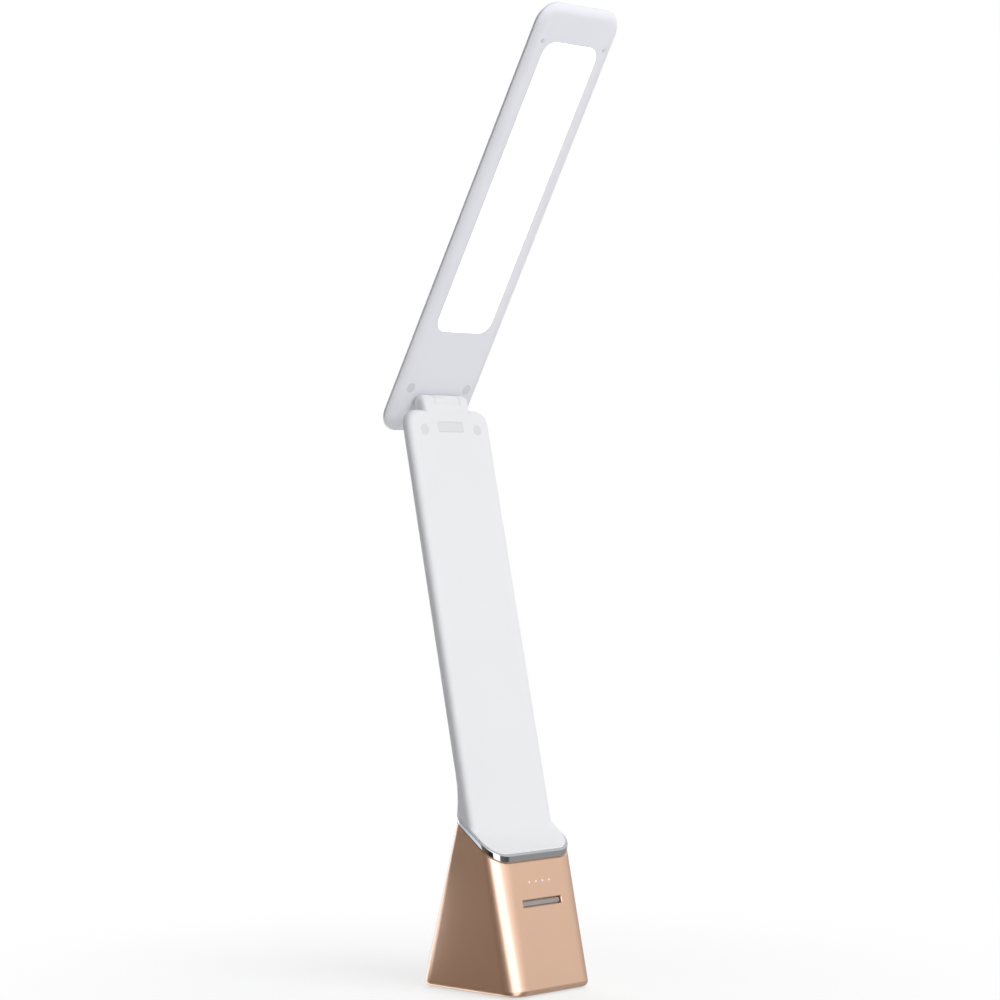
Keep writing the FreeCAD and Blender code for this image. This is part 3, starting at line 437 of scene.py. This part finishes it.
# Trim ring: a moulded band plated in bright chrome, clamped between the housing and the arm's
# foot. The plating is mirror bright and follows the slight waves of the moulding.
chrome, sock, into = finish("bright_chrome", Metallic=1.0)
wave = grain(sock, scale=75.0)
tint(sock, into, wave, low=(0.56, 0.565, 0.575), high=(0.62, 0.625, 0.635))
roughen(sock, into, grain(sock, scale=900.0), least=0.03, spread=0.04)
relief(sock, into, wave, depth=0.00028)
dress(chrome, "trim_ring")

# Arm: a front shell that runs down into the deck and a back cover, both moulded in white with a
# smooth satin skin and joined all round the edge.
white = moulded("white_shell", low=(0.845, 0.848, 0.868), high=(0.875, 0.878, 0.898),
                rough=0.40, depth=1.2e-5)
dress(white, "arm_front_shell", "arm_back_cover")

# Hinge: a white yoke in the arm and a knuckle in the head turn on a pin and a hollow trunnion,
# with a hard friction washer at each end of the knuckle.
white_hinge = moulded("white_hinge", low=(0.85, 0.853, 0.872), high=(0.875, 0.878, 0.896),
                      rough=0.36, depth=1.0e-5, scale=4200.0)
dress(white_hinge, "arm_hinge_yoke", "head_hinge_knuckle", "friction_washers")

# Plugs and access cover: soft pale grey plugs close the screw holes of both shells, a flat cover
# closes the hole under the hinge, and two bumpers keep the folded tip off the arm.
arm_plug = moulded("arm_plug_grey", low=(0.74, 0.74, 0.755), high=(0.79, 0.79, 0.80),
                   rough=0.62, depth=4e-5, scale=2600.0)
dress(arm_plug, "arm_screw_plugs")
head_plug = moulded("head_plug_grey", low=(0.68, 0.68, 0.715), high=(0.73, 0.73, 0.76),
                    rough=0.62, depth=4e-5, scale=2600.0)
dress(head_plug, "head_screw_plugs", "tip_bumpers")
cover_grey = moulded("cover_grey", low=(0.765, 0.77, 0.785), high=(0.80, 0.805, 0.82),
                     rough=0.5, depth=2e-5)
dress(cover_grey, "hinge_access_cover")

# Head: a front frame round the lit window and a shallow back cover, moulded in white like the arm,
# joined in the narrow rim. Their white is a little darker and bluer than the arm's: painted cool
# shade on the head.
head_white_painted_cool_shade = moulded("head_shell_white_painted_cool_shade", low=(0.832, 0.834, 0.882), high=(0.862, 0.864, 0.910),
                     rough=0.40, depth=1.2e-5)
dress(head_white_painted_cool_shade, "head_front_frame", "head_back_cover")

# Light panel: an opal diffuser snapped into the frame, over a clear acrylic guide that spreads the
# light from its long edges, with a white film behind it.
opal, sock, into = finish("lit_opal", Roughness=0.5, Emission_Strength=1.05,
                          Base_Color=(0.96, 0.96, 0.97, 1))
lit(sock, into, grain(sock, scale=12.0), dim=(0.25, (0.97, 0.97, 0.98)), full=(0.75, (1, 1, 1)))
relief(sock, into, grain(sock, scale=5200.0), depth=1e-5)
dress(opal, "diffuser_panel")
acrylic, sock, into = finish("clear_guide", Transmission_Weight=0.6, IOR=1.49)
tint(sock, into, grain(sock, scale=40.0), low=(0.90, 0.93, 0.95), high=(0.95, 0.97, 0.98))
roughen(sock, into, grain(sock, scale=3600.0), least=0.03, spread=0.1)
dress(acrylic, "light_guide")
film = moulded("white_film", low=(0.90, 0.90, 0.91), high=(0.94, 0.94, 0.94),
               rough=0.7, depth=1e-5)
dress(film, "reflector_sheet")

# Studio floor: a wide sheet of white paper that stays white to the camera from a hand's breadth
# round the base on, and keeps the soft shadow close to it.
bpy.ops.mesh.primitive_plane_add(size=60, location=(0, 0, 0))
floor = bpy.context.object
floor.name = "floor"
paper, sock, into = finish("floor_paper", Roughness=0.9)
tint(sock, into, grain(sock, scale=90.0, detail=4.0),
     low=(0.87, 0.87, 0.87), high=(0.90, 0.90, 0.90))
ray = sock.node("LightPath", output="Is Camera Ray")
reach = sock.node("VectorMath", {"operation": "LENGTH"}, "Value",
                  _0=sock.node("TexCoord", output="Object"))
far = sock.node("MapRange", {"interpolation_type": "SMOOTHSTEP"}, Value=reach,
                From_Min=0.05, From_Max=0.32, To_Min=0.7, To_Max=1.0)
shader = Socket(sock.tree, paper.node_tree.nodes["Principled BSDF"].outputs[0])
mixed = sock.node("MixShader", _0=ray * far, _1=shader, _2=sock.node("Emission", Strength=1.0))
sock.feed(paper.node_tree.nodes["Material Output"].inputs["Surface"], mixed)
floor.data.materials.append(paper)
floor.visible_glossy = False


# Light tent: pale and dark cloth panels hang round the object, and a small white card stands by
# the base's back edge. Only glossy surfaces see them.
def panels(*stops):
    """Ramp stops from bearings in degrees, from the front to the left, each with a colour."""
    return {"stops": [(0.5 + bearing / 360.0, colour) for bearing, colour in stops]}


def glowing(screen, material, sock, colour, strength):
    """Gives a screen its material, which glows by itself."""
    light = sock.node("Emission", Color=colour, Strength=strength)
    sock.feed(material.node_tree.nodes["Material Output"].inputs["Surface"], light)
    screen.data.materials.append(material)


bpy.ops.mesh.primitive_uv_sphere_add(segments=64, ring_count=32, radius=2.0, location=(0, 0, 0.2))
bpy.ops.object.transform_apply()
tent = bpy.context.object
tent.name = "tent"
cloth, sock, into = finish("tent_panels")
place = sock.node("SeparateXYZ", Vector=sock.node("TexCoord", output="Object"))
height = place.other("Z")
turn = sock.math("ARCTAN2", 0.0 - place, 0.0 - place.other("Y")) * (0.5 / math.pi) + 0.5
high = sock.node("ValToRGB", panels(
    (-180, (1.5, 1.8, 2.3)), (-158, (0.9, 0.9, 0.9)), (-75, (0.82, 0.82, 0.82)),
    (-50, (0.85, 0.85, 0.85)), (-24, (1.12, 1.13, 1.15)), (-3, (1.36, 1.43, 1.55)),
    (11, (2.5, 2.9, 3.5)), (51, (2.6, 3.0, 3.7)), (66, (0.85, 0.83, 0.82)),
    (86, (0.33, 0.28, 0.235)), (128, (0.33, 0.28, 0.235)), (154, (1.5, 1.8, 2.3))), Fac=turn)
low = sock.node("ValToRGB", panels(
    (-180, (2.0, 2.1, 2.25)), (-150, (0.5, 0.5, 0.5)), (-70, (0.40, 0.40, 0.41)),
    (-44, (0.44, 0.44, 0.45)), (-30, (0.10, 0.10, 0.11)), (9, (0.22, 0.22, 0.23)),
    (11, (1.8, 1.8, 1.8)), (50, (1.8, 1.8, 1.8)), (53, (0.02, 0.02, 0.02)),
    (85, (0.05, 0.05, 0.05)), (105, (0.155, 0.12, 0.09)), (136, (0.20, 0.155, 0.115)),
    (163, (0.34, 0.32, 0.31)), (168, (2.0, 2.1, 2.25))), Fac=turn)
soft_step = {"interpolation_type": "SMOOTHSTEP"}
colour_mix = {"data_type": "RGBA"}
rise = sock.node("MapRange", soft_step, Value=height, From_Min=0.02, From_Max=0.26)
sides = sock.node("Mix", colour_mix, 2, _0=rise, _6=low, _7=high)
crown = sock.node("MapRange", soft_step, Value=height, From_Min=0.8, From_Max=1.25)
paint = sock.node("Mix", colour_mix, 2, _0=crown, _6=sides, _7=(0.8, 0.8, 0.8, 1))
glowing(tent, cloth, sock, paint, 1.0)

card_width = 0.05
card_height = 0.07
base_back_lean = math.radians(18.0)
card_place = (-0.050, 0.0500, 0)   # its lower front corner
bpy.ops.mesh.primitive_plane_add(size=1, location=(0, card_width / 2, card_height / 2),
                                 rotation=(0, math.pi / 2, 0))
bpy.ops.transform.resize(value=(1, card_width, card_height))
bpy.ops.object.transform_apply()
card = bpy.context.object
card.name = "bounce_card"
card.rotation_euler = (base_back_lean, 0, 0)
card.location = card_place
bpy.ops.object.transform_apply()
card_paper, sock, into = finish("card_paper")
height = sock.node("SeparateXYZ", {}, "Z", Vector=sock.node("TexCoord", output="Object"))
fade = sock.node("MapRange", Value=height, From_Min=0.032, From_Max=0.058, To_Min=1.0, To_Max=0.18)
glowing(card, card_paper, sock, (1.25, 1.4, 1.62, 1), fade)
for screen in (tent, card):
    screen.visible_camera = False
    screen.visible_diffuse = False
    screen.visible_transmission = False
    screen.visible_shadow = False
    screen.visible_volume_scatter = False

# Light and camera: a white surround, one large soft lamp in front, one above and one behind, and
# a level camera with a long lens at the front left.
world = bpy.data.worlds.new("surround")
bpy.context.scene.world = world
world.use_nodes = True
sky = Socket(world.node_tree)
ray = sky.node("LightPath", output="Is Camera Ray")
mirrored = sky.math("MAXIMUM", ray, ray.other("Is Glossy Ray"))
seen = sky.math("MAXIMUM", mirrored, ray.other("Is Transmission Ray"))
back = world.node_tree.nodes["Background"]
ambient = 0.05
sky.feed(back.inputs["Strength"], seen * (1 - ambient) + ambient)
back.inputs["Color"].default_value = (1, 1, 1, 1)


def soft_lamp(name, turn, rise, energy, size):
    """A square soft lamp aimed at the object, by its bearing and its rise in degrees."""
    distance = 2.0
    aim_height = 0.2
    turn, rise = math.radians(turn), math.radians(rise)
    level = distance * math.cos(rise)
    height = aim_height + distance * math.sin(rise)
    place = (level * math.sin(turn), -level * math.cos(turn), height)
    bpy.ops.object.light_add(type="AREA", location=place, rotation=(math.pi / 2 - rise, 0, turn))
    lamp = bpy.context.object
    lamp.name = name
    lamp.data.energy = energy
    lamp.data.size = size
    lamp.visible_glossy = False


soft_lamp("front_lamp", turn=0, rise=26, energy=21.7, size=1.3)
soft_lamp("top_lamp", turn=0, rise=70, energy=16.5, size=1.2)
soft_lamp("back_lamp", turn=146, rise=30, energy=24, size=1.4)

camera_turn = -math.radians(47)
bpy.ops.object.camera_add(location=(-1.0773, -1.0005, 0.239),
                          rotation=(math.pi / 2, 0, camera_turn))
camera = bpy.context.object
camera.data.lens = 110.1
camera.data.sensor_width = 36
camera.data.shift_y = -0.0105
bpy.context.scene.camera = camera
bpy.context.scene.view_settings.view_transform = "Standard"
